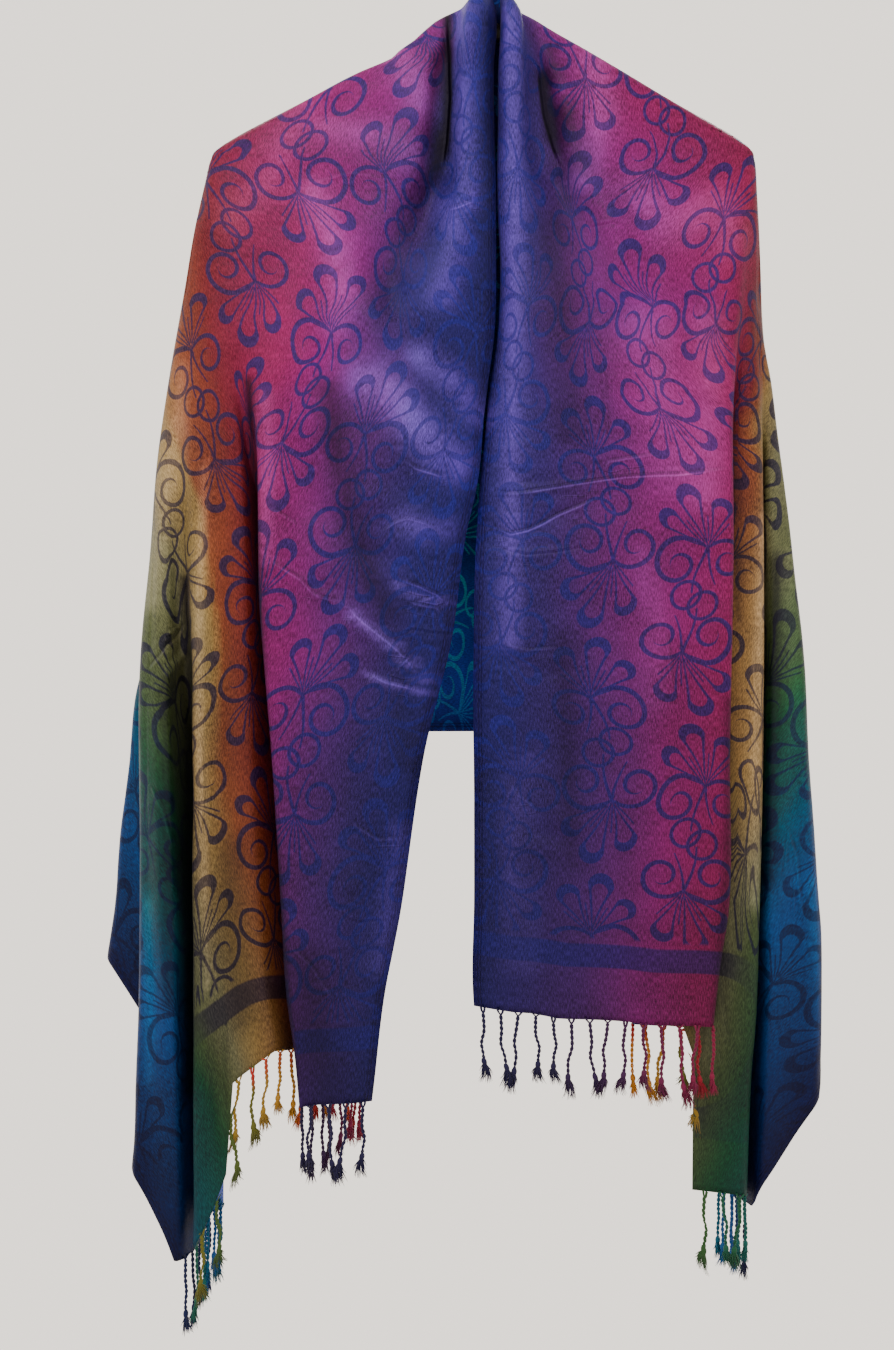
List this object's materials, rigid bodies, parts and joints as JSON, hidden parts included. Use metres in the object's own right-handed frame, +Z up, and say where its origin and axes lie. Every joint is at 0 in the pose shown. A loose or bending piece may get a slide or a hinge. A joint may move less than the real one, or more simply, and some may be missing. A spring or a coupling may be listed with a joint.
{
  "type": "fringed scarf on a clothes hanger",
  "caption": "Rainbow jacquard pashmina with knotted fringes, draped like a shawl over a plain hanger with a wire hook.",
  "frame": {"origin": "the seat inside the top of the hook, where a rail carries it", "axes": "+Z up, the scarf's front towards -Y, +X to the viewer's right as one faces the front"},
  "size_m": [0.5667, 0.1062, 1.1152],
  "materials": {
    "left_front": "silky purple weave",
    "left_side": "gold, olive and green weave",
    "back": "navy and teal reverse of the weave",
    "right_side": "orange, gold and green weave",
    "right_front": "silky magenta weave",
    "left_fringe": "twisted purple, gold and green yarn",
    "right_fringe": "twisted magenta, olive and blue yarn",
    "hanger_wood": "clear satin lacquer",
    "hanger_wire": "polished"
  },
  "bodies": {
    "root": {"cloth_left_front": "left_front", "cloth_left_side": "left_side", "cloth_back": "back", "cloth_right_side": "right_side", "cloth_right_front": "right_front", "fringe_left_front": "left_fringe", "fringe_left_side": "left_fringe", "fringe_right_front": "right_fringe", "fringe_right_side": "right_fringe", "hanger_arms": "hanger_wood", "hanger_hook": "hanger_wire"}
  },
  "joints": []
}
